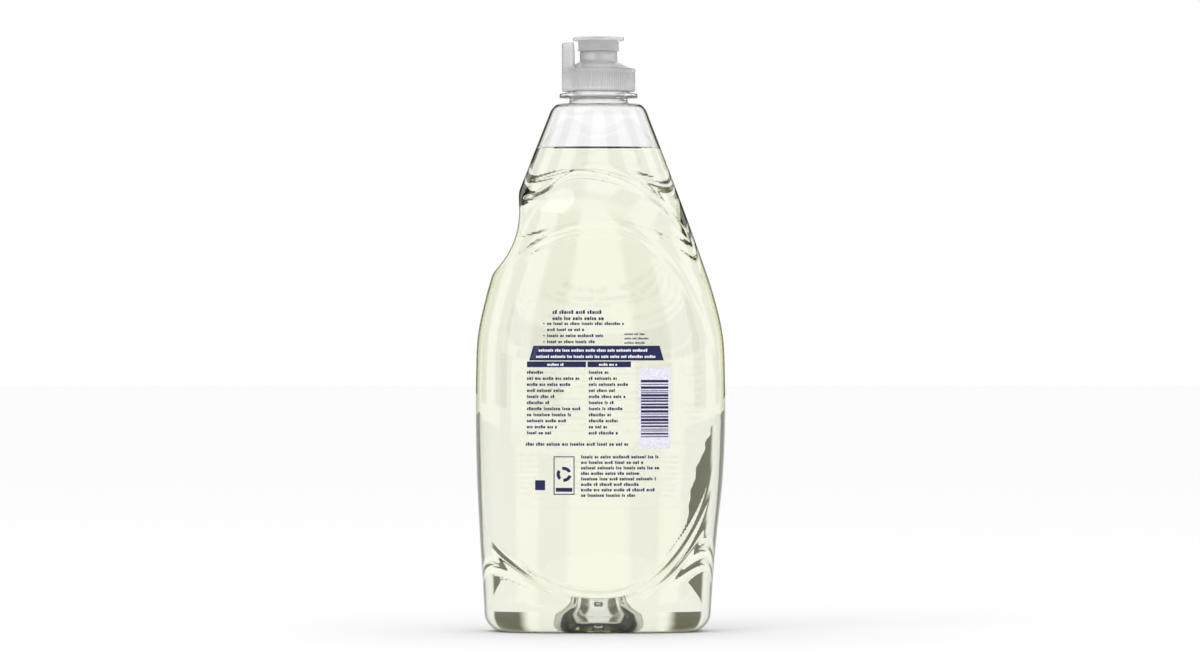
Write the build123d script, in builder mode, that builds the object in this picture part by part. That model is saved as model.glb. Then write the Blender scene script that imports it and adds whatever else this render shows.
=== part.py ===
from build123d import *
import os
from math import cos, pi, sin

# Dish soap bottle: a blown oval bottle with a finger grip in one side, the soap that fills it,
# a screw closure with a guard wall, a push-pull spout, and a clear label on the back panel.
# Millimetres, +Z up. The origin is on the neck's axis, in the plane that the foot stands on.
# The labelled back looks along -Y and the finger grip is on the -X side.

# Bottle wall
wall = 1.0
shoulder_height = 213.1
shoulder_rounding = 4.5
heel_rounding = 7.0

# Shoulder and foot of the body: half sizes, with "left" the grip side
shoulder_left = 18.5
shoulder_right = 18.6
shoulder_depth = 18.2
shoulder_fullness = 2.05
foot_left = 45.8
foot_right = 45.2
foot_depth = 25.4
foot_fullness = 2.6

# Lower wall
lower_height = 36.0
lower_left = 48.0
lower_right = 47.6
lower_depth = 27.0
lower_fullness = 2.5

# Belly, the widest level
belly_height = 88.0
belly_left = 49.8
belly_right = 51.4
belly_depth = 27.8
belly_fullness = 2.4

# Start of the slope up to the shoulder, measured down from the shoulder
slope_drop = 76.1
slope_left = 45.1
slope_right = 46.3
slope_depth = 26.4
slope_fullness = 2.3

# Level of the finger grip
grip_drop = 44.5
grip_left = 35.6
grip_right = 35.1
grip_depth = 23.4
grip_fullness = 2.15
grip_radius = 30.0
grip_bite = 3.1

# Pushed-up base inside the foot
foot_land = 5.0
push_up_height = 12.5
push_up_waist_height = 7.0
push_up_waist_length = 16.0
push_up_waist_depth = 9.0
push_up_top_length = 10.0
push_up_top_depth = 6.5
gate_radius = 2.0
gate_length = 1.5

# Oval label panel, recessed on the back and the front
panel_recess = 0.4
panel_margin = 5.0
panel_bottom = 19.0
panel_height = 139.0

# Neck and its finish
neck_radius = 11.8
neck_length = 2.4
ring_radius = 15.8
ring_thickness = 1.9
ring_rounding = 0.4
finish_radius = 12.4
finish_height = 9.5
bore_radius = 10.6

# Filling
fill_height = 195.5
fill_gap = 0.1

# Closure
thread_depth = 1.1
thread_clearance = 0.3
skirt_wall = 1.1
skirt_lift = 0.8
deck_edge_height = 0.7
deck_rim_width = 1.6
cone_height = 2.75
cone_wall = 1.25
plug_wall = 1.2
plug_length = 2.3
plug_clearance = 0.1
pedestal_radius = 7.6
pedestal_height = 4.25
tower_radius = 6.9
tower_height = 3.8
passage_radius = 5.6
passage_lip = 1.0
passage_undercut = 0.3
post_radius = 1.6
post_recess = 0.4
spoke_count = 3
spoke_width = 1.6
spoke_height = 1.5
guard_wall = 1.0
guard_height = 10.2
guard_reach = 4.4

# Spout
spout_wall = 1.1
spout_top_thickness = 1.5
spout_headroom = 0.3
flange_radius = 10.3
flange_rounding = 0.35
sleeve_wall = 0.9
sleeve_bead_height = 0.8
slide_clearance = 0.08
spout_travel = 3.5

# Back label, a thin film on the panel
label_length = 66.0
label_across = 1.5
label_bottom = 50.0
label_height = 84.0
label_corner = 4.0
label_thickness = 0.15
label_gap = 0.05

# Heights that follow from the sizes above
ring_bottom = shoulder_height + neck_length
ring_top = ring_bottom + ring_thickness
rim = ring_top + finish_height
deck_edge = rim + deck_edge_height
cone_top = deck_edge + cone_height
pedestal_top = cone_top + pedestal_height
tower_top = pedestal_top + tower_height
spout_roof = tower_top + spout_headroom
spout_top = spout_roof + spout_top_thickness

section_points = 24

# height, left half width, right half width, half depth, fullness of each level section
body_sections = [
    (0, foot_left, foot_right, foot_depth, foot_fullness),
    (lower_height, lower_left, lower_right, lower_depth, lower_fullness),
    (belly_height, belly_left, belly_right, belly_depth, belly_fullness),
    (shoulder_height - slope_drop, slope_left, slope_right, slope_depth, slope_fullness),
    (shoulder_height - grip_drop, grip_left, grip_right, grip_depth, grip_fullness),
    (shoulder_height, shoulder_left, shoulder_right, shoulder_depth, shoulder_fullness),
]


def rounded_power(value, exponent):
    """Raise the size of a sine or cosine to a power and keep its sign."""
    return abs(value) ** exponent * (1 if value >= 0 else -1)


def section_outline(left, right, depth, fullness):
    """Points round one level section, an oval that is fuller than an ellipse above 2."""
    points = []
    for index in range(section_points):
        angle = 2 * pi * index / section_points
        across = rounded_power(cos(angle), 2 / fullness)
        along = rounded_power(sin(angle), 2 / fullness)
        points.append((across * (right if across > 0 else left), along * depth))
    return points


def body_form(inset):
    """The closed outer form of the body, pulled in all round by inset."""
    with BuildPart() as form:
        for height, left, right, depth, fullness in body_sections:
            level = min(max(height, inset), shoulder_height - inset)
            with BuildSketch(Plane.XY.offset(level)):
                with BuildLine():
                    outline = section_outline(left - inset, right - inset, depth - inset, fullness)
                    Spline(outline, periodic=True)
                make_face()
        loft()
        fillet(form.edges().group_by(Axis.Z)[-1], shoulder_rounding - inset)
        fillet(form.edges().group_by(Axis.Z)[0], heel_rounding - inset)
        grip_x = -(grip_left - grip_bite + grip_radius)
        with BuildSketch(Plane.XZ):
            with Locations((grip_x, shoulder_height - grip_drop)):
                Circle(grip_radius + inset)
        extrude(amount=belly_depth, both=True, mode=Mode.SUBTRACT)
    return form.part


def push_up(growth):
    """The oval bell pushed up into the foot, grown all round by growth."""
    mouth_length = foot_right - heel_rounding - foot_land
    mouth_depth = foot_depth - heel_rounding - foot_land
    levels = [
        (0, mouth_length, mouth_depth),
        (push_up_waist_height, push_up_waist_length, push_up_waist_depth),
        (push_up_height + growth, push_up_top_length, push_up_top_depth),
    ]
    with BuildPart() as bell:
        for height, length, depth in levels:
            with BuildSketch(Plane.XY.offset(height)):
                Ellipse(length + growth, depth + growth)
        loft()
    return bell.part



def outward_plate(across, middle, length, height, rounding):
    """An upright plate with round corners, from the axis plane out past the labelled back."""
    with BuildPart() as plate:
        with BuildSketch(Plane.XZ):
            with Locations((across, middle)):
                RectangleRounded(length, height, rounding)
        extrude(amount=2 * belly_depth)
    return plate.part


def turned_face(*points):
    """A face with corners given as radius and height, ready to be revolved about Z."""
    with BuildSketch(Plane.XZ) as face:
        with BuildLine():
            Polyline(*points, close=True)
        make_face()
    return face.sketch


# The recess of the back panel: what stands above the panel floor, inside its oval outline
with BuildPart() as panel_cut:
    with BuildSketch(Plane.XZ):
        with Locations((0, panel_bottom + panel_height / 2)):
            Ellipse(belly_left - panel_margin, panel_height / 2)
    extrude(amount=2 * belly_depth)
    add(body_form(panel_recess), mode=Mode.SUBTRACT)

# Room inside the wall, from the pushed-up base to the bottom of the neck
with BuildPart() as cavity:
    add(body_form(wall))
    add(push_up(wall), mode=Mode.SUBTRACT)

# Bottle: body, panels, neck with its support ring, and the bore down into the body
with BuildPart() as bottle:
    add(body_form(0))
    add(panel_cut.part, mode=Mode.SUBTRACT)
    mirror(panel_cut.part, about=Plane.XZ, mode=Mode.SUBTRACT)
    add(push_up(0), mode=Mode.SUBTRACT)
    revolve(turned_face(
        (0, shoulder_height - wall),
        (neck_radius, shoulder_height - wall),
        (neck_radius, ring_bottom),
        (ring_radius, ring_bottom),
        (ring_radius, ring_top),
        (finish_radius, ring_top),
        (finish_radius, rim),
        (0, rim),
    ), axis=Axis.Z)
    add(cavity.part, mode=Mode.SUBTRACT)
    with BuildSketch(Plane.XY.offset(shoulder_height - 2 * wall)):
        Circle(bore_radius)
    extrude(until=Until.LAST, mode=Mode.SUBTRACT)
    with BuildSketch(Plane.XY.offset(push_up_height - gate_length)):
        Circle(gate_radius)
    extrude(amount=gate_length + wall / 2)
    ring_edges = bottle.edges().filter_by(GeomType.CIRCLE).filter_by(lambda e: e.radius == ring_radius)
    fillet(ring_edges, ring_rounding)

# Soap: fills the cavity up to its own level surface
with BuildPart() as soap:
    add(body_form(wall + fill_gap))
    add(push_up(wall + fill_gap), mode=Mode.SUBTRACT)
    split(bisect_by=Plane.XY.offset(fill_height), keep=Keep.BOTTOM)

# Closure: skirt, deck, cone, pedestal and tower are one turned shell
skirt_radius = finish_radius + thread_depth + thread_clearance + skirt_wall
skirt_bore = skirt_radius - skirt_wall
skirt_bottom = ring_top + skirt_lift
plug_radius = bore_radius - plug_clearance
undercut_radius = passage_radius + passage_undercut
with BuildPart() as closure:
    revolve(turned_face(
        (skirt_bore, skirt_bottom),
        (skirt_radius, skirt_bottom),
        (skirt_radius, deck_edge),
        (skirt_radius - deck_rim_width, deck_edge),
        (pedestal_radius, cone_top),
        (pedestal_radius, pedestal_top),
        (tower_radius, pedestal_top),
        (tower_radius, tower_top),
        (passage_radius, tower_top),
        (passage_radius, tower_top - passage_lip),
        (undercut_radius, tower_top - passage_lip),
        (undercut_radius, cone_top - cone_wall),
        (plug_radius - plug_wall, rim + cone_wall / 2),
        (plug_radius - plug_wall, rim - plug_length),
        (plug_radius, rim - plug_length),
        (plug_radius, rim),
        (skirt_bore, rim),
    ), axis=Axis.Z)
    deck_corner = closure.edges().filter_by(GeomType.CIRCLE).group_by(SortBy.RADIUS)[-1].sort_by(Axis.Z)[-1]
    fillet(deck_corner, deck_edge_height / 2)
    # The web across the passage holds the post that closes the spout's hole.
    web_bottom = cone_top - cone_wall
    with BuildSketch(Plane.XY.offset(web_bottom)):
        Circle(post_radius)
    extrude(amount=spout_top - post_recess - web_bottom)
    with BuildSketch(Plane.XY.offset(web_bottom)):
        with PolarLocations(0, spoke_count):
            Rectangle(undercut_radius + passage_undercut, spoke_width, align=(Align.MIN, Align.CENTER))
    extrude(amount=spoke_height)
    # The guard wall stands on the deck's edge, on the side of the finger grip.
    with BuildSketch(Plane.XY.offset(deck_edge - deck_edge_height)):
        Circle(skirt_radius)
        Circle(skirt_radius - guard_wall, mode=Mode.SUBTRACT)
        with Locations((-skirt_radius, 0)):
            Rectangle(guard_reach, 2 * skirt_radius, align=(Align.MIN, Align.CENTER), mode=Mode.INTERSECT)
    extrude(amount=guard_height + deck_edge_height)

# Spout: a cap with an outer skirt over the tower and an inner sleeve down its passage
spout_bore = tower_radius + slide_clearance
sleeve_radius = passage_radius - slide_clearance
bead_radius = undercut_radius - slide_clearance
sleeve_bead_top = tower_top - passage_lip - spout_travel - slide_clearance
sleeve_bottom = sleeve_bead_top - sleeve_bead_height
hole_radius = post_radius + slide_clearance
with BuildPart() as spout:
    revolve(turned_face(
        (hole_radius, spout_top),
        (flange_radius, spout_top),
        (flange_radius, spout_roof),
        (spout_bore + spout_wall, spout_roof),
        (spout_bore + spout_wall, pedestal_top),
        (spout_bore, pedestal_top),
        (spout_bore, spout_roof),
        (sleeve_radius, spout_roof),
        (sleeve_radius, sleeve_bead_top),
        (bead_radius, sleeve_bead_top),
        (bead_radius, sleeve_bottom),
        (sleeve_radius - sleeve_wall, sleeve_bottom),
        (sleeve_radius - sleeve_wall, spout_roof),
        (hole_radius, spout_roof),
    ), axis=Axis.Z)
    flange_edges = spout.edges().filter_by(GeomType.CIRCLE).group_by(SortBy.RADIUS)[-1]
    fillet(flange_edges, flange_rounding)

# Back label: a film that follows the panel floor
label_inner = panel_recess - label_gap
with BuildPart() as back_label:
    add(outward_plate(label_across, label_bottom + label_height / 2, label_length, label_height, label_corner))
    add(body_form(label_inner - label_thickness), mode=Mode.INTERSECT)
    add(body_form(label_inner), mode=Mode.SUBTRACT)

bottle.part.label = "bottle"
soap.part.label = "soap"
closure.part.label = "closure"
spout.part.label = "spout"
back_label.part.label = "back_label"

os.makedirs("parts", exist_ok=True)
export_step(bottle.part, "parts/bottle.step")
export_step(soap.part, "parts/soap.step")
export_step(closure.part, "parts/closure.step")
export_step(spout.part, "parts/spout.step")
export_step(back_label.part, "parts/back_label.step")
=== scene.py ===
from math import asin, ceil, cos, exp, hypot, pi, radians, sin, sqrt, tan

import bpy
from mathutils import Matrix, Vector


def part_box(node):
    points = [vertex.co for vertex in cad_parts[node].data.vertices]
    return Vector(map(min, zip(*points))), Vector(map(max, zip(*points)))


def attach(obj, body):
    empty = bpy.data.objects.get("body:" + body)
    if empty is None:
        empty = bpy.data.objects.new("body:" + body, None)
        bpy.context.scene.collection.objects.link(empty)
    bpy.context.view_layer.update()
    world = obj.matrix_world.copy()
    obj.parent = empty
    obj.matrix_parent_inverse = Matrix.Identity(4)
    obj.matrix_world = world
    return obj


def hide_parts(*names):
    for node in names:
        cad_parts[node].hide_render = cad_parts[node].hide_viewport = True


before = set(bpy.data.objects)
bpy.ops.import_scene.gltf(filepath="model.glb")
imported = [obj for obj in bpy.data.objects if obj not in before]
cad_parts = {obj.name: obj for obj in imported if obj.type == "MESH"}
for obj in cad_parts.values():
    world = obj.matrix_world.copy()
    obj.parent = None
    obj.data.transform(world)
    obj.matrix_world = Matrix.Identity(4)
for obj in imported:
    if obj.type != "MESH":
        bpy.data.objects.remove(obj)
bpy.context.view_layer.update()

MM = 0.001
TURN = 2 * pi

# ---------------------------------------------------------------- places taken from the frame
_, bottle_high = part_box("bottle")
_, soap_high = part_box("soap")
closure_low, closure_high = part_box("closure")
spout_low, spout_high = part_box("spout")
label_low, label_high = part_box("back_label")

RIM = bottle_high.z / MM
FILL = soap_high.z / MM
SKIRT_BOTTOM = closure_low.z / MM
SKIRT_RADIUS = closure_high.x / MM
GUARD_TOP = 237.8
SPOUT_TOP = spout_high.z / MM
FLANGE_RADIUS = spout_high.x / MM
HALF_DEPTH = bottle_high.y / MM

# ---------------------------------------------------------------- colours of the finishes
WHITE = (1.0, 1.0, 1.0, 1)
# Painted shade colour that the clear wall takes on at edges seen at a grazing angle
WALL_EDGE_PAINTED_SHADE = (0.12, 0.11, 0.055, 1)
SOAP_TINT = (0.80, 0.83, 0.30, 1)
SOAP_STRENGTH = 7.0
CLOSURE_TONE = (0.985, 0.985, 0.99)
SPOUT_TONE = (0.99, 0.99, 0.99)
NAVY = (0.006, 0.008, 0.075)
LILAC = (0.74, 0.72, 0.86)
PALE_INK = (0.85, 0.87, 0.93)
STUDIO_GAP = (0.10, 0.095, 0.045, 1)
STUDIO_CEILING = (0.75, 0.75, 0.72, 1)
STUDIO_PANELS = 8.0

# ---------------------------------------------------------------- shader maths


class Wire:
    """One socket of a node tree, so that shader sums are written as Python sums."""

    def __init__(self, tree, socket):
        self.tree = tree
        self.socket = socket

    def maths(self, operation, *values):
        return node(self.tree, "ShaderNodeMath", {"operation": operation}, dict(enumerate(values)))

    def __add__(self, other):
        return self.maths("ADD", self, other)

    def __mul__(self, other):
        return self.maths("MULTIPLY", self, other)

    __radd__ = __add__
    __rmul__ = __mul__

    def cosine(self):
        return self.maths("COSINE", self)

    def larger(self, other):
        return self.maths("MAXIMUM", self, other)

    def ramp(self, start, end, low=0.0, high=1.0):
        """Smooth step from low at start to high at end."""
        settings = {"interpolation_type": "SMOOTHSTEP"}
        return node(self.tree, "ShaderNodeMapRange", settings, {0: self, 1: start, 2: end, 3: low, 4: high})


def node(tree, kind, settings=None, values=None, output=0):
    """Add a node: its settings first, then a value or a link for each socket named."""
    made = tree.nodes.new(kind)
    for name, value in (settings or {}).items():
        setattr(made, name, value)
    for name, value in (values or {}).items():
        if isinstance(value, Wire):
            tree.links.new(value.socket, made.inputs[name])
        else:
            made.inputs[name].default_value = value
    return Wire(tree, made.outputs[output])


def blend_colours(tree, factor, first, second):
    """Mix two colours by a factor. The Mix node's sockets 0, 6 and 7 are its factor and its colours."""
    return node(tree, "ShaderNodeMix", {"data_type": "RGBA"}, {0: factor, 6: first, 7: second}, output=2)


def new_finish(name, **settings):
    """A material with one Principled shader, its own sockets set, and its tree to add detail to."""
    material = bpy.data.materials.new(name)
    material.use_nodes = True
    tree = material.node_tree
    shader = tree.nodes["Principled BSDF"]
    for socket, value in settings.items():
        shader.inputs[socket.replace("_", " ")].default_value = value
    return material, tree, shader


def feed(tree, wire, shader, socket):
    tree.links.new(wire.socket, shader.inputs[socket])


def surface_noise(tree, scale, detail=2.0):
    """Noise that is fixed to the piece, in cycles per metre."""
    place = node(tree, "ShaderNodeTexCoord", output=3)
    return node(tree, "ShaderNodeTexNoise", {}, {"Vector": place, "Scale": scale, "Detail": detail})


def clear_wall_finish():
    """Clear glossy blown plastic with the faint waviness of blow moulding, and painted shade on its edges
    seen at a grazing angle.
    """
    material, tree, shader = new_finish(
        "clear_wall", Base_Color=WHITE, Transmission_Weight=1.0, IOR=1.5, Roughness=0.0
    )
    waves = node(tree, "ShaderNodeBump", {}, {
        "Strength": 0.12, "Distance": 0.0004, "Height": surface_noise(tree, 55.0),
    })
    feed(tree, waves, shader, "Normal")
    # Painted shade: seen edge on, the clear wall's base colour is darkened towards olive by the facing
    # angle, in place of the dark edges that refraction of the surroundings gives
    edge = node(tree, "ShaderNodeLayerWeight", {}, {"Blend": 0.5}, output=1).ramp(0.52, 0.90)
    feed(tree, blend_colours(tree, edge, WHITE, WALL_EDGE_PAINTED_SHADE), shader, "Base Color")
    return material


def soap_finish():
    """Clear pale yellow-green liquid that deepens with the length of the light's path."""
    material, tree, shader = new_finish(
        "pale_soap", Base_Color=WHITE, Transmission_Weight=1.0, IOR=1.36, Roughness=0.0
    )
    depth = node(tree, "ShaderNodeVolumeAbsorption", {}, {"Color": SOAP_TINT, "Density": SOAP_STRENGTH})
    feed(tree, depth, tree.nodes["Material Output"], "Volume")
    return material


def frosted_finish(name, tone, roughness):
    """Translucent natural polypropylene with a fine moulded grain."""
    material, tree, shader = new_finish(
        name, Base_Color=(*tone, 1), Transmission_Weight=0.68, IOR=1.40, Roughness=roughness,
    )
    grain = surface_noise(tree, 900.0, 3.0)
    feed(tree, grain * 0.12 + (roughness - 0.06), shader, "Roughness")
    cloud = surface_noise(tree, 120.0).ramp(0.3, 0.7)
    dim = tuple(part * 0.95 for part in tone)
    feed(tree, blend_colours(tree, cloud, (*tone, 1), (*dim, 1)), shader, "Base Color")
    bump = node(tree, "ShaderNodeBump", {}, {"Strength": 0.15, "Distance": 0.0001, "Height": grain})
    feed(tree, bump, shader, "Normal")
    return material


def film_finish():
    """A clear label film: almost nothing but a faint gloss."""
    material, tree, shader = new_finish(
        "label_film", Base_Color=(0.98, 0.98, 1.0, 1), Roughness=0.12, Alpha=0.03
    )
    haze = surface_noise(tree, 200.0) * 0.02 + 0.02
    feed(tree, haze, shader, "Alpha")
    return material


def ink_finish(name, tone, roughness):
    """Printed ink with slightly uneven cover."""
    material, tree, shader = new_finish(name, Base_Color=(*tone, 1), Roughness=roughness)
    cover = surface_noise(tree, 1500.0).ramp(0.35, 0.75)
    thin = tuple(min(1.0, part * 1.3 + 0.002) for part in tone)
    feed(tree, blend_colours(tree, cover, (*tone, 1), (*thin, 1)), shader, "Base Color")
    return material


# ---------------------------------------------------------------- mesh tools


def make_piece(name, points, faces, material, body, smooth=True):
    """A mesh piece from points in millimetres, riding on its body."""
    mesh = bpy.data.meshes.new(name)
    mesh.from_pydata([(x * MM, y * MM, z * MM) for x, y, z in points], [], faces)
    mesh.materials.append(material)
    mesh.validate()
    if smooth:
        mesh.shade_smooth()
    else:
        mesh.shade_flat()
    piece = bpy.data.objects.new(name, mesh)
    bpy.context.scene.collection.objects.link(piece)
    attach(piece, body)
    return piece


class Shell:
    """Collects rings of points and the faces between them."""

    def __init__(self):
        self.points = []
        self.faces = []

    def ring(self, points):
        start = len(self.points)
        self.points += points
        return range(start, len(self.points))

    def point(self, place):
        self.points.append(place)
        return len(self.points) - 1

    def join(self, first, second):
        """Quads between two closed rings of one length."""
        count = len(first)
        for i in range(count):
            j = (i + 1) % count
            self.faces.append((first[i], first[j], second[j], second[i]))

    def close(self, ring, centre, flip=False):
        """Fan from a ring to one point."""
        count = len(ring)
        for i in range(count):
            j = (i + 1) % count
            corner = (ring[i], ring[j], centre)
            self.faces.append(corner[::-1] if flip else corner)


def circle(radius, height, count, ripple=None):
    """Points of a level circle; ripple changes the radius by angle."""
    points = []
    for i in range(count):
        angle = TURN * i / count
        r = radius + (ripple(angle) if ripple else 0)
        points.append((r * cos(angle), r * sin(angle), height))
    return points


def turned(shell, profile, count, ripples=None):
    """Revolve a closed profile of (radius, height); ripples maps a profile index to a radius change."""
    rings = []
    for index, (radius, height) in enumerate(profile):
        ripple = (ripples or {}).get(index)
        rings.append(shell.ring(circle(radius, height, count, ripple)))
    for first, second in zip(rings, rings[1:] + rings[:1]):
        shell.join(first, second)
    return rings


def rounded(profile, radii, steps=3):
    """Round the corners of a closed profile; radii maps a corner's index to its radius."""
    result = []
    count = len(profile)
    for i, corner in enumerate(profile):
        radius = radii.get(i, 0.12)
        before = Vector(profile[i - 1]) - Vector(corner)
        after = Vector(profile[(i + 1) % count]) - Vector(corner)
        half = before.angle(after) / 2
        if radius <= 0 or half > radians(88):
            result.append(corner)
            continue
        reach = min(radius / tan(half), before.length * 0.45, after.length * 0.45)
        start = Vector(corner) + before.normalized() * reach
        end = Vector(corner) + after.normalized() * reach
        for step in range(steps + 1):
            t = step / steps
            place = start * (1 - t) ** 2 + Vector(corner) * 2 * t * (1 - t) + end * t * t
            result.append((place.x, place.y))
    return result


# ---------------------------------------------------------------- the body's outer form
# A smooth curve runs through these levels.
# height, half width on the left without the grip, half width on the right, half depth, fullness
LEVELS = [
    (0.0, 46.2, 45.4, 25.0, 2.7),
    (10.0, 46.3, 45.6, 25.4, 2.65),
    (36.0, 47.9, 47.6, HALF_DEPTH - 0.6, 2.5),
    (62.0, 49.2, 50.3, HALF_DEPTH - 0.15, 2.42),
    (86.0, 49.7, 51.3, HALF_DEPTH - 0.05, 2.4),
    (104.0, 49.6, 51.2, HALF_DEPTH - 0.15, 2.38),
    (120.0, 48.8, 50.3, 27.0, 2.33),
    (137.0, 45.1, 46.3, 26.1, 2.3),
    (153.0, 40.3, 40.9, 24.7, 2.2),
    (169.0, 35.5, 35.1, 23.2, 2.15),
    (190.0, 27.5, 27.3, 21.0, 2.08),
    (208.0, 20.4, 20.4, 18.9, 2.0),
    (213.1, 18.5, 18.6, 18.2, 2.0),
]
SHOULDER = 213.1
HEEL_ROUND = 8.0
SHOULDER_ROUND = 4.6
SHOULDER_START = SHOULDER - SHOULDER_ROUND * 0.8
RELIEF_FROM = 9
RELIEF_TO = 200
WALL = 0.8
GRIP_X = -62.5
GRIP_Z = 168.6
GRIP_RADIUS = 30.0


def curve_value(height, column):
    """Smooth (Catmull-Rom) value of one column of LEVELS at a height."""
    rows = LEVELS
    height = min(max(height, rows[0][0]), rows[-1][0])
    k = 0
    while k < len(rows) - 2 and height > rows[k + 1][0]:
        k += 1
    z1, z2 = rows[k][0], rows[k + 1][0]
    p1, p2 = rows[k][column], rows[k + 1][column]
    z0, p0 = (rows[k - 1][0], rows[k - 1][column]) if k else (z1, p1)
    z3, p3 = (rows[k + 2][0], rows[k + 2][column]) if k + 2 < len(rows) else (z2, p2)
    span = z2 - z1
    m1 = (p2 - p0) / (z2 - z0) * span
    m2 = (p3 - p1) / (z3 - z1) * span
    t = (height - z1) / span
    return (
        (2 * t ** 3 - 3 * t ** 2 + 1) * p1 + (t ** 3 - 2 * t ** 2 + t) * m1
        + (-2 * t ** 3 + 3 * t ** 2) * p2 + (t ** 3 - t ** 2) * m2
    )


def smooth(value):
    """Smooth step from 0 to 1 as value goes from 0 to 1."""
    value = min(max(value, 0.0), 1.0)
    return value * value * (3 - 2 * value)


def hump(value, width):
    """A bell of height 1 round a value of 0."""
    return exp(-(value / width) ** 2)


def grip_reach(height):
    """How far left the finger grip's arc lets the wall go at a height."""
    rise = height - GRIP_Z
    if abs(rise) >= GRIP_RADIUS:
        return 99.0
    return -(GRIP_X + sqrt(GRIP_RADIUS ** 2 - rise ** 2))


def oval_height(x, middle_x, middle_z, half_x, half_z):
    """Height of the upper half of an oval at x, far below the body outside the oval."""
    across = 1 - ((x - middle_x) / half_x) ** 2
    return middle_z + half_z * sqrt(across) if across > 0 else -50.0


# Ovals by middle x, middle z, half width and half height
SWEEP_TOP = (-8.0, 112.0, 58.0, 73.0)
SWEEP_FOOT = (-8.0, 100.0, 57.5, 67.5)
SWEEP_TURN = -8.0
PANEL_X = 1.0
PANEL_Z = 88.5
PANEL_RIGHT = 47.0
PANEL_LEFT = 62.0
PANEL_HEIGHT = 72.0
PANEL_RECESS = 0.42
PANEL_RIM_SCALE = 60


def relief(x, z):
    """How far the face is sunk, in millimetres, at a place on the front or the back."""
    depth = 0.0
    # The sweep: a shallow channel from the grip, over the panel and down the other side
    top = oval_height(x, *SWEEP_TOP)
    foot = oval_height(x, *SWEEP_FOOT)
    if x < SWEEP_TURN:
        top = 185.0 - 9.0 * smooth((SWEEP_TURN - x) / 20.0)
        foot = 167.5 + 2.5 * smooth((SWEEP_TURN - x) / 18.0) - 16.0 * smooth((-24.0 - x) / 12.0)
    if z < top + 4 and z > foot - 6 and top > 0:
        band = max(top - foot, 4.0)
        place = (top - z) / band
        strength = 2.5 - 1.6 * smooth((x + 10) / 50)
        entry = smooth((place + 0.03) / 0.16)
        leave = 1 - smooth((place - 0.25) / 0.80)
        depth += strength * entry * leave
    # A fine groove that follows the sweep's upper edge
    if x > SWEEP_TURN and top > 0:
        depth += 0.45 * hump(z - top - 2.2, 1.0) * smooth((x + 8) / 12)
    # Oval label panel
    half_x = PANEL_RIGHT if x > PANEL_X else PANEL_LEFT
    ring = hypot((x - PANEL_X) / half_x, (z - PANEL_Z) / PANEL_HEIGHT)
    depth += PANEL_RECESS * (1 - smooth((ring - 0.985) / 0.03))
    # Two fine grooves round the panel, the outer one only on its right
    depth += 0.55 * hump((ring - 1.03) * PANEL_RIM_SCALE, 0.9)
    depth += 0.25 * hump((ring - 1.085) * PANEL_RIM_SCALE, 0.9) * smooth((x - 8) / 20)
    return depth


def wall_point(height, angle, inset):
    """A place on the body's surface, or inset below it."""
    left = curve_value(height, 1)
    right = curve_value(height, 2)
    deep = curve_value(height, 3)
    full = curve_value(height, 4)
    # Rounding of the heel and the shoulder
    pull = 0.0
    if height < HEEL_ROUND:
        rise = HEEL_ROUND - height
        pull = HEEL_ROUND - sqrt(max(HEEL_ROUND ** 2 - rise ** 2, 0))
    if height > SHOULDER_START:
        rise = height - SHOULDER_START
        pull = 0.75 * (SHOULDER_ROUND - sqrt(max(SHOULDER_ROUND ** 2 - rise ** 2, 0)))
    c, s = cos(angle), sin(angle)
    side = right if c >= 0 else left
    x = abs(c) ** (2 / full) * side * (1 if c >= 0 else -1)
    y = abs(s) ** (2 / full) * deep * (1 if s >= 0 else -1)
    facing = smooth((abs(y) / deep - 0.12) / 0.5)
    sunk = relief(x, height) * facing if RELIEF_FROM < height < RELIEF_TO else 0.0
    out = pull + inset
    x -= out * c
    y -= (out + sunk) * s
    limit = grip_reach(height) - inset
    soft = 1.2
    if x < 0 and -x > limit - 2 * soft:
        over = -x - (limit - 2 * soft)
        kept = 2 * soft * (1 - exp(-over / (2 * soft)))
        x = -(limit - 2 * soft + min(kept, over))
    return (x, y, height)


def lengths(start, end, rows, crowd=0.0):
    """Heights from start to end, closer together at both ends when crowd is above 0."""
    values = []
    for i in range(rows + 1):
        t = i / rows
        t = t - crowd * sin(TURN * t) / TURN
        values.append(start + (end - start) * t)
    return values


def even_angles(count):
    """Equal steps of angle round one turn."""
    return [TURN * i / count for i in range(count)]


# ---------------------------------------------------------------- pushed-up foot
MOUTH_X = 33.0
MOUTH_Y = 13.4
BELL_TOP_X = 10.0
BELL_TOP_Y = 6.5
BELL_RISE = 12.5
BELL_STEPS = 14


def bell_point(rise, angle, growth):
    """A place on the oval bell pushed up into the foot, by its share of the rise."""
    flare = (1 - rise) ** 1.7
    x = (BELL_TOP_X + (MOUTH_X - BELL_TOP_X) * flare + growth) * cos(angle)
    y = (BELL_TOP_Y + (MOUTH_Y - BELL_TOP_Y) * flare + growth) * sin(angle)
    return (x, y, rise * (BELL_RISE + growth))


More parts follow.
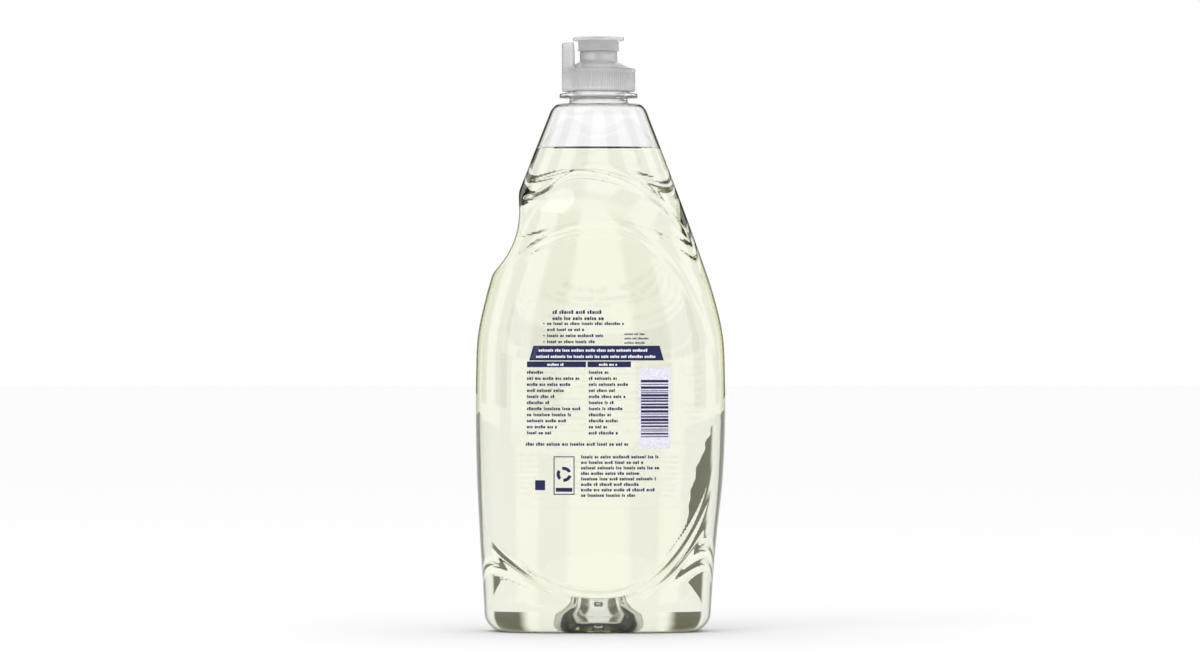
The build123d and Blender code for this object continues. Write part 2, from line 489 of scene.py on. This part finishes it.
def foot_rings(shell, outline, count, growth, floor):
    """Rings from the heel's outline under the foot ring and up the bell to its middle."""
    rings = []
    land = [bell_point(0.0, angle, growth) for angle in even_angles(count)]
    for share in (0.35, 0.7, 1.0):
        points = []
        for edge, inner in zip(outline, land):
            x = edge[0] + (inner[0] - edge[0]) * share
            y = edge[1] + (inner[1] - edge[1]) * share
            points.append((x, y, floor))
        rings.append(shell.ring(points))
    for step in range(1, BELL_STEPS + 1):
        rise = sin(step / BELL_STEPS * pi / 2) if step < BELL_STEPS else 1.0
        points = [bell_point(rise, angle, growth) for angle in even_angles(count)]
        rings.append(shell.ring([(x, y, max(z, floor)) for x, y, z in points]))
    top = BELL_RISE + growth
    for share in (0.7, 0.4):
        across = BELL_TOP_X * share
        deep = BELL_TOP_Y * share
        rings.append(shell.ring([(across * cos(a), deep * sin(a), top) for a in even_angles(count)]))
    return rings


def join_rings(shell, rings):
    for first, second in zip(rings, rings[1:]):
        shell.join(first, second)


# ---------------------------------------------------------------- neck with its thread
NECK_RADIUS = 11.8
RING_RADIUS = 15.8
RING_BOTTOM = 215.5
RING_TOP = 217.4
FINISH_RADIUS = 12.4
BORE_RADIUS = 10.6
THREAD_PITCH = 2.9
THREAD_TURNS = 1.6
THREAD_START = 219.0


def thread_rise(height, angle):
    """How far the thread stands out of the finish at a height and angle."""
    rise = 0.0
    for turn in range(-1, 3):
        along = turn + angle / TURN
        if along < 0 or along > THREAD_TURNS:
            continue
        ends = min(smooth(along / 0.08), smooth((THREAD_TURNS - along) / 0.08))
        middle = THREAD_START + THREAD_PITCH * along
        rise = max(rise, 1.05 * ends * (1 - smooth((abs(height - middle) - 0.25) / 0.55)))
    return rise


BODY_COLUMNS = 240


def body_shell():
    """The whole clear bottle: outer form, neck, bore, inner form and foot, as one closed mesh."""
    shell = Shell()
    count = BODY_COLUMNS
    angles = even_angles(count)
    outer = []
    for z in lengths(0.0, SHOULDER, 250, 0.35):
        outer.append([wall_point(z, a, 0.0) for a in angles])
    rings = [shell.ring(points) for points in outer]
    join_rings(shell, rings)
    # Flat of the shoulder and the neck
    top = outer[-1]
    profile = [(14.6, SHOULDER, 0.5), (12.9, SHOULDER + 0.05, 1.0), (12.1, SHOULDER + 0.35, 1.0),
               (NECK_RADIUS, SHOULDER + 1.0, 1.0), (NECK_RADIUS, RING_BOTTOM - 0.25, 1.0),
               (NECK_RADIUS + 0.25, RING_BOTTOM, 1.0), (RING_RADIUS - 0.4, RING_BOTTOM, 1.0),
               (RING_RADIUS - 0.1, RING_BOTTOM + 0.12, 1.0), (RING_RADIUS, RING_BOTTOM + 0.4, 1.0),
               (RING_RADIUS, RING_TOP - 0.4, 1.0), (RING_RADIUS - 0.1, RING_TOP - 0.12, 1.0),
               (RING_RADIUS - 0.4, RING_TOP, 1.0), (FINISH_RADIUS + 0.3, RING_TOP, 1.0),
               (FINISH_RADIUS, RING_TOP + 0.3, 1.0)]
    previous = rings[-1]
    for radius, z, share in profile:
        points = []
        for i, a in enumerate(angles):
            x = radius * cos(a) * share + top[i][0] * (1 - share) * 0.86
            y = radius * sin(a) * share + top[i][1] * (1 - share) * 0.86
            points.append((x, y, z))
        ring = shell.ring(points)
        shell.join(previous, ring)
        previous = ring
    for z in lengths(RING_TOP + 0.5, RIM - 0.4, 40):
        ring = shell.ring([((FINISH_RADIUS + thread_rise(z, a)) * cos(a),
                            (FINISH_RADIUS + thread_rise(z, a)) * sin(a), z) for a in angles])
        shell.join(previous, ring)
        previous = ring
    for radius, z in ((FINISH_RADIUS - 0.12, RIM - 0.12), (FINISH_RADIUS - 0.4, RIM),
                      (BORE_RADIUS + 0.3, RIM), (BORE_RADIUS + 0.08, RIM - 0.08), (BORE_RADIUS, RIM - 0.3),
                      (BORE_RADIUS, SHOULDER + 0.6), (BORE_RADIUS + 0.2, SHOULDER - 0.4),
                      (BORE_RADIUS + 1.2, SHOULDER - WALL)):
        ring = shell.ring(circle(radius, z, count))
        shell.join(previous, ring)
        previous = ring
    for z in reversed(lengths(WALL, SHOULDER - WALL - 0.02, 170, 0.35)):
        ring = shell.ring([wall_point(z, a, WALL) for a in angles])
        shell.join(previous, ring)
        previous = ring
    inner_outline = [wall_point(WALL, a, WALL) for a in angles]
    inner = foot_rings(shell, inner_outline, count, WALL, WALL)
    shell.join(previous, inner[0])
    join_rings(shell, inner)
    shell.close(inner[-1], shell.point((0, 0, BELL_RISE + WALL)))
    # Underside, with the gate mark hanging in the middle
    under = foot_rings(shell, outer[0], count, 0.0, 0.0)
    shell.join(under[0], rings[0])
    for first, second in zip(under, under[1:]):
        shell.join(second, first)
    gate = [shell.ring(circle(r, z, count)) for r, z in
            ((2.4, BELL_RISE), (2.0, BELL_RISE - 0.3), (1.9, BELL_RISE - 1.3), (1.5, BELL_RISE - 1.5))]
    shell.join(gate[0], under[-1])
    for first, second in zip(gate, gate[1:]):
        shell.join(second, first)
    shell.close(gate[-1], shell.point((0, 0, BELL_RISE - 1.5)), flip=True)
    return shell


def soap_shell():
    """The soap: it wets the inner wall and has a level surface with a small meniscus."""
    shell = Shell()
    count = BODY_COLUMNS
    angles = even_angles(count)
    inset = WALL - 0.08
    low = WALL - 0.08
    rows = [[wall_point(z, a, inset) for a in angles] for z in lengths(low, FILL, 230, 0.2)]
    rings = [shell.ring(points) for points in rows]
    join_rings(shell, rings)
    previous = rings[-1]
    for shrink, drop in ((0.985, 0.45), (0.96, 0.75), (0.9, 0.9), (0.6, 0.9), (0.3, 0.9)):
        ring = shell.ring([(x * shrink, y * shrink, FILL - drop) for x, y, z in rows[-1]])
        shell.join(previous, ring)
        previous = ring
    shell.close(previous, shell.point((0, 0, FILL - 0.9)))
    under = foot_rings(shell, rows[0], count, low, low)
    shell.join(under[0], rings[0])
    for first, second in zip(under, under[1:]):
        shell.join(second, first)
    shell.close(under[-1], shell.point((0, 0, BELL_RISE + low)), flip=True)
    return shell


# ---------------------------------------------------------------- closure and spout
DECK_EDGE = 227.6
CONE_TOP = 230.35
PEDESTAL_TOP = 234.6
TOWER_TOP = 238.4
RIB_COUNT = 96


def closure_shell():
    """The screw closure: ribbed skirt, cone, pedestal, tower and seal."""
    shell = Shell()
    count = RIB_COUNT * 6

    def rib(angle):
        return -0.16 + 0.16 * cos(angle * RIB_COUNT)

    top, low = SKIRT_RADIUS, SKIRT_BOTTOM
    profile = [
        (13.8, low), (top - 0.25, low), (top, low + 0.25), (top, low + 1.0),
        (top, low + 1.25), (top, DECK_EDGE - 1.9), (top, DECK_EDGE - 1.6), (top, DECK_EDGE - 0.5),
        (top - 0.15, DECK_EDGE - 0.15), (top - 0.5, DECK_EDGE), (top - 1.5, DECK_EDGE),
        (top - 1.9, DECK_EDGE + 0.12), (8.1, CONE_TOP - 0.15), (7.7, CONE_TOP + 0.05), (7.6, CONE_TOP + 0.3),
        (7.6, PEDESTAL_TOP - 0.2), (7.4, PEDESTAL_TOP), (6.95, PEDESTAL_TOP), (6.9, PEDESTAL_TOP + 0.05),
        (6.9, TOWER_TOP - 0.2), (6.7, TOWER_TOP), (5.8, TOWER_TOP), (5.6, TOWER_TOP - 0.2),
        (5.6, TOWER_TOP - 0.9), (5.9, TOWER_TOP - 0.94), (5.9, CONE_TOP - 1.25), (9.2, RIM + 0.65),
        (9.2, RIM - 2.2), (9.4, RIM - 2.3), (10.3, RIM - 2.3), (10.5, RIM - 2.1), (10.5, RIM), (13.8, RIM),
    ]
    turned(shell, profile, count, {4: rib, 5: rib})
    return shell


def guard_shell():
    """The guard wall on the deck's edge over the finger grip side, with a step inside."""
    shell = Shell()
    outer = SKIRT_RADIUS
    half = radians(45)
    steps = 48
    rows = []
    section = [(outer, DECK_EDGE - 0.6), (outer, GUARD_TOP - 0.25), (outer - 0.25, GUARD_TOP),
               (outer - 0.75, GUARD_TOP), (outer - 1.0, GUARD_TOP - 0.25), (outer - 1.0, PEDESTAL_TOP + 0.1),
               (outer - 1.35, PEDESTAL_TOP - 0.25), (outer - 1.35, DECK_EDGE - 0.4)]
    for i in range(steps + 1):
        angle = pi - half + 2 * half * i / steps
        rows.append(shell.ring([(r * cos(angle), r * sin(angle), z) for r, z in section]))
    for first, second in zip(rows, rows[1:]):
        shell.join(second, first)
    shell.faces.append(tuple(rows[0]))
    shell.faces.append(tuple(reversed(rows[-1])))
    return shell


def web_shell():
    """The post that plugs the spout's hole, and the three spokes that hold it."""
    shell = Shell()
    base = CONE_TOP - 1.25
    profile = [(1.6, base), (1.6, SPOUT_TOP - 0.9), (1.3, SPOUT_TOP - 0.5), (0.5, SPOUT_TOP - 0.4)]
    rings = [shell.ring(circle(r, z, 48)) for r, z in profile]
    join_rings(shell, rings)
    shell.close(rings[-1], shell.point((0, 0, SPOUT_TOP - 0.4)))
    shell.close(rings[0], shell.point((0, 0, base)), flip=True)
    for spoke in range(3):
        turn = TURN * spoke / 3
        corners = []
        for z in (base, base + 1.5):
            for along, side in ((1.2, -0.8), (6.0, -0.8), (6.0, 0.8), (1.2, 0.8)):
                x = along * cos(turn) - side * sin(turn)
                y = along * sin(turn) + side * cos(turn)
                corners.append((x, y, z))
        start = len(shell.points)
        shell.points += corners
        for face in ((3, 2, 1, 0), (4, 5, 6, 7), (0, 1, 5, 4), (1, 2, 6, 5), (2, 3, 7, 6), (3, 0, 4, 7)):
            shell.faces.append(tuple(start + i for i in face))
    return shell


def spout_shell():
    """The push-pull spout: flange with a dished top, skirt, sleeve with its snap bead, and hole."""
    shell = Shell()
    roof = SPOUT_TOP - 1.5
    sleeve_foot = spout_low.z / MM
    profile = [
        (1.68, SPOUT_TOP - 0.35), (3.6, SPOUT_TOP - 0.35), (4.0, SPOUT_TOP), (FLANGE_RADIUS, SPOUT_TOP),
        (FLANGE_RADIUS, roof), (8.18, roof), (8.18, PEDESTAL_TOP + 0.9), (8.38, PEDESTAL_TOP + 0.6),
        (8.38, PEDESTAL_TOP), (6.98, PEDESTAL_TOP), (6.98, roof), (5.52, roof),
        (5.52, sleeve_foot + 0.8), (5.82, sleeve_foot + 0.8), (5.82, sleeve_foot + 0.2), (5.5, sleeve_foot),
        (4.62, sleeve_foot), (4.62, roof), (1.68, roof),
    ]
    radii = {1: 0.2, 2: 0.3, 3: 0.35, 4: 0.35, 5: 0.4, 8: 0.15, 17: 0.3}
    turned(shell, rounded(profile, radii)[::-1], 192)
    return shell


# ---------------------------------------------------------------- back label and its print
LABEL_GAP = 0.03
LABEL_CORNER = 4.0
FILM_THICKNESS = 0.06


def face_y(x, z, lift):
    """The labelled back's place at x and z, lifted off it by lift."""
    left, right = curve_value(z, 1), curve_value(z, 2)
    deep, full = curve_value(z, 3), curve_value(z, 4)
    side = right if x >= 0 else left
    y = deep * (1 - (abs(x) / side) ** full) ** (1 / full)
    slope = asin(min(1.0, y / deep))
    facing = smooth((y / deep - 0.12) / 0.5)
    return -(y - relief(x, z) * facing * sin(slope) + lift)


def patch(shell, x0, z0, x1, z1, lift, slant=0.0, cell=3.0):
    """A patch of print that follows the panel; slant shifts its foot outward on both sides."""
    across = max(1, ceil((x1 - x0) / cell))
    upward = max(1, ceil((z1 - z0) / cell))
    start = len(shell.points)
    for j in range(upward + 1):
        z = z0 + (z1 - z0) * j / upward
        spread = slant * (1 - j / upward)
        for i in range(across + 1):
            x = x0 - spread + (x1 - x0 + 2 * spread) * i / across
            shell.points.append((x, face_y(x, z, lift), z))
    for j in range(upward):
        for i in range(across):
            a = start + j * (across + 1) + i
            shell.faces.append((a, a + 1, a + across + 2, a + across + 1))


def word_row(shell, x0, x1, z, height, seed, lift):
    """One row of words made of plain upright ticks, their number and size from a fixed rule."""
    x = x0
    step = seed
    while x < x1 - 0.8:
        step = (step * 37 + 11) % 101
        for tick in range(2 + step % 7):
            wide = height * (0.34 + 0.10 * ((step + 5 * tick) % 4))
            tall = height * (1.0 if (step + 3 * tick) % 4 == 0 else 0.74)
            if x + wide > x1:
                break
            patch(shell, x, z - height / 2, x + wide, z - height / 2 + tall, lift)
            x += wide + height * 0.16
        x += height * 0.5


def label_film_shell():
    """The clear film, a thin closed sheet with rounded corners on the panel."""
    shell = Shell()
    x0, x1 = label_low.x / MM + 0.05, label_high.x / MM - 0.05
    z0, z1 = label_low.z / MM + 0.05, label_high.z / MM - 0.05
    columns, rows = 44, 56
    sheets = []
    for lift in (LABEL_GAP, LABEL_GAP + FILM_THICKNESS):
        grid = []
        for j in range(rows + 1):
            z = z0 + (z1 - z0) * j / rows
            edge = min(z - z0, z1 - z)
            trim = 0.0
            if edge < LABEL_CORNER:
                trim = LABEL_CORNER - sqrt(max(LABEL_CORNER ** 2 - (LABEL_CORNER - edge) ** 2, 0))
            row = []
            for i in range(columns + 1):
                x = x0 + trim + (x1 - x0 - 2 * trim) * i / columns
                row.append(shell.point((x, face_y(x, z, lift), z)))
            grid.append(row)
        sheets.append(grid)
    inner, outer = sheets
    for j in range(rows):
        for i in range(columns):
            quad = (outer[j][i], outer[j][i + 1], outer[j + 1][i + 1], outer[j + 1][i])
            shell.faces.append(quad)
            back = (inner[j][i], inner[j + 1][i], inner[j + 1][i + 1], inner[j][i + 1])
            shell.faces.append(back)
    for j in range(rows):
        shell.faces.append((inner[j][0], outer[j][0], outer[j + 1][0], inner[j + 1][0]))
        shell.faces.append((outer[j][-1], inner[j][-1], inner[j + 1][-1], outer[j + 1][-1]))
    for i in range(columns):
        shell.faces.append((outer[0][i], inner[0][i], inner[0][i + 1], outer[0][i + 1]))
        shell.faces.append((inner[-1][i], outer[-1][i], outer[-1][i + 1], inner[-1][i + 1]))
    return shell


PRINT = LABEL_GAP + 0.08


def dark_print():
    """Every dark blue mark but the package mark: tick rows, bands, table, bars and the small square."""
    shell = Shell()
    for row, (x0, x1) in enumerate(((-18.4, 1.6), (-18.4, 2.6))):
        word_row(shell, x0, x1, 129.0 - 2.5 * row, 1.5, 3 + row, PRINT)
    for row, (x0, x1) in enumerate(((-20.6, 10.6), (-20.6, -5.4), (-20.6, 2.2), (-20.6, -1.0))):
        z = 124.4 - 2.42 * row
        if row != 1:
            patch(shell, -22.2, z - 0.25, -21.6, z + 0.25, PRINT)
        word_row(shell, x0, x1, z, 1.25, 11 + row, PRINT)
    for row, (x0, x1) in enumerate(((10.4, 18.6), (10.4, 21.4), (10.4, 19.2))):
        word_row(shell, x0, x1, 120.2 - 1.75 * row, 0.85, 29 + row, PRINT)
    patch(shell, -26.1, 109.6, 24.5, 115.5, PRINT, slant=1.7)
    patch(shell, -28.7, 106.9, -5.0, 109.2, PRINT)
    patch(shell, -4.4, 106.9, 13.0, 109.2, PRINT)
    for row in range(11):
        z = 104.9 - 2.43 * row
        word_row(shell, -28.7, -28.7 + 8 + (row * 29 % 16), z, 1.3, 41 + row, PRINT)
        word_row(shell, -3.9, -3.9 + 8 + (row * 13 % 9), z, 1.3, 71 + row, PRINT)
    word_row(shell, -29.2, 12.2, 76.1, 1.35, 97, PRINT)
    x0, x1, z, gauge = 17.0, 28.0, 101.8, 0
    while z > 78.6:
        gauge = (gauge * 17 + 5) % 23
        thick = 0.35 + 0.32 * (gauge % 3)
        patch(shell, x0, z - thick, x1, z, PRINT + 0.02)
        z -= thick + 0.4 + 0.22 * (gauge % 2)
    for row in range(8):
        z = 71.0 - 2.2 * row
        word_row(shell, -7.0, 25.5 - (row * 7 % 13), z, 1.3, 13 + row * 5, PRINT)
    patch(shell, -25.4, 57.6, -21.4, 61.6, PRINT)
    return shell


def pale_print():
    """The pale ground of the bars, and the light tick rows on the dark bands."""
    ground = Shell()
    patch(ground, 16.2, 74.2, 28.8, 106.8, PRINT - 0.02)
    marks = Shell()
    word_row(marks, -24.0, 20.0, 113.7, 1.15, 17, PRINT + 0.03)
    word_row(marks, -25.0, 23.0, 111.2, 1.15, 23, PRINT + 0.03)
    word_row(marks, -20.5, -13.5, 108.0, 1.05, 31, PRINT + 0.03)
    word_row(marks, 0.2, 8.0, 108.0, 1.05, 43, PRINT + 0.03)
    return ground, marks


def icon_print():
    """A tall frame round a ring of three bent bars, with a plain bar at its foot."""
    shell = Shell()
    x0, x1, z0, z1 = -18.0, -9.6, 55.8, 71.2
    line = 0.4
    edges = ((x0, z0, x1, z0 + line), (x0, z1 - line, x1, z1),
             (x0, z0, x0 + line, z1), (x1 - line, z0, x1, z1))
    for edge in edges:
        patch(shell, *edge, PRINT)
    middle_x, middle_z = (x0 + x1) / 2, 64.0
    for bar in range(3):
        turn = TURN * bar / 3 + 0.4
        start = len(shell.points)
        steps = 8
        for i in range(steps + 1):
            angle = turn + 1.5 * i / steps
            for radius in (1.7, 3.0):
                x, z = middle_x + radius * cos(angle), middle_z + radius * sin(angle)
                shell.points.append((x, face_y(x, z, PRINT), z))
        for i in range(steps):
            a = start + 2 * i
            shell.faces.append((a, a + 1, a + 3, a + 2))
    patch(shell, x0 + 0.9, 57.0, x1 - 0.9, 58.6, PRINT)
    return shell


# ---------------------------------------------------------------- build the pieces
clear_wall = clear_wall_finish()
pale_soap = soap_finish()
frosted = frosted_finish("frosted_closure", CLOSURE_TONE, 0.17)
frosted_spout = frosted_finish("frosted_spout", SPOUT_TONE, 0.15)
film = film_finish()
navy = ink_finish("navy_ink", NAVY, 0.7)
lilac = ink_finish("lilac_ink", LILAC, 0.5)
white_ink = ink_finish("white_ink", PALE_INK, 0.45)


def place(name, shell, material, body, slot, *nodes, smooth=True):
    piece = make_piece(name, shell.points, shell.faces, material, body, smooth)
    if nodes:
        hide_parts(*nodes)
    return piece


place("bottle_wall", body_shell(), clear_wall, "pack", "clear_wall", "bottle")
place("soap_fill", soap_shell(), pale_soap, "pack", "pale_soap", "soap")
place("label_sheet", label_film_shell(), film, "pack", "label_film", "back_label")
place("label_print_dark", dark_print(), navy, "pack", "label_film")
bar_ground, band_marks = pale_print()
place("label_print_ground", bar_ground, lilac, "pack", "label_film")
place("label_print_light", band_marks, white_ink, "pack", "label_film")
place("label_print_icon", icon_print(), navy, "pack", "label_film")
closure_piece = place("closure_body", closure_shell(), frosted, "cap", "frosted_cap", "closure")
place("closure_guard", guard_shell(), frosted, "cap", "frosted_cap", smooth=False)
place("closure_post", web_shell(), frosted, "cap", "frosted_cap", smooth=False)
spout_piece = place("spout_body", spout_shell(), frosted_spout, "nozzle", "frosted_cap", "spout")

for piece in (closure_piece, spout_piece):
    piece.data.set_sharp_from_angle(angle=radians(50))

# ---------------------------------------------------------------- floor, light and camera
# Metres, and millimetres for the lens
FLOOR_REACH = 12.0
FLOOR_TONE = (0.97, 0.97, 0.97, 1)
CAMERA_PLACE = (0.0006, -2.5, 0.1198)
CAMERA_LENS = 185.3
CAMERA_SENSOR = 36.0
CAMERA_LIMIT = 50


def floor_plane():
    mesh = bpy.data.meshes.new("floor")
    corners = [(-FLOOR_REACH, -FLOOR_REACH, 0), (FLOOR_REACH, -FLOOR_REACH, 0),
               (FLOOR_REACH, FLOOR_REACH, 0), (-FLOOR_REACH, FLOOR_REACH, 0)]
    mesh.from_pydata(corners, [], [(0, 1, 2, 3)])
    floor = bpy.data.objects.new("floor", mesh)
    bpy.context.scene.collection.objects.link(floor)
    material, _, _ = new_finish("floor_white", Base_Color=FLOOR_TONE, Roughness=0.9, Specular_IOR_Level=0.0)
    mesh.materials.append(material)


def studio_world():
    """White to the camera; the clear parts see white panels with darker gaps between them."""
    world = bpy.data.worlds.new("studio")
    bpy.context.scene.world = world
    world.use_nodes = True
    tree = world.node_tree
    tree.nodes.clear()
    direction = node(tree, "ShaderNodeTexCoord", output=0)
    x, y, z = (node(tree, "ShaderNodeSeparateXYZ", {}, {0: direction}, output=axis) for axis in range(3))
    azimuth = node(tree, "ShaderNodeMath", {"operation": "ARCTAN2"}, {0: y, 1: x})
    panels = ((azimuth * STUDIO_PANELS).cosine() * 0.5 + 0.5).ramp(0.30, 0.62)
    walls = blend_colours(tree, panels, STUDIO_GAP, WHITE)
    seen = blend_colours(tree, z.ramp(0.35, 0.75), walls, STUDIO_CEILING)
    glossy = node(tree, "ShaderNodeLightPath", output="Is Glossy Ray")
    clear = node(tree, "ShaderNodeLightPath", output="Is Transmission Ray")
    colour = blend_colours(tree, glossy.larger(clear), WHITE, seen)
    background = node(tree, "ShaderNodeBackground", {}, {"Color": colour, "Strength": 1.0})
    feed(tree, background, tree.nodes.new("ShaderNodeOutputWorld"), "Surface")


def soft_lamp(name, place_at, target, size, power):
    lamp = bpy.data.lights.new(name, "AREA")
    lamp.size = size
    lamp.energy = power
    holder = bpy.data.objects.new(name, lamp)
    holder.location = place_at
    holder.rotation_euler = (Vector(target) - Vector(place_at)).to_track_quat("-Z", "Y").to_euler()
    bpy.context.scene.collection.objects.link(holder)


def hero_camera():
    """Level with the bottle's middle, far back, so that the sides stay upright."""
    camera = bpy.data.cameras.new("camera")
    camera.sensor_width = CAMERA_SENSOR
    camera.lens = CAMERA_LENS
    camera.clip_end = CAMERA_LIMIT
    holder = bpy.data.objects.new("camera", camera)
    holder.location = CAMERA_PLACE
    holder.rotation_euler = (pi / 2, 0, 0)
    bpy.context.scene.collection.objects.link(holder)
    bpy.context.scene.camera = holder


floor_plane()
studio_world()
soft_lamp("key_lamp", (-0.9, -0.9, 1.3), (0, 0, 0.12), 1.0, 3.0)
hero_camera()
bpy.context.scene.view_settings.view_transform = "Standard"
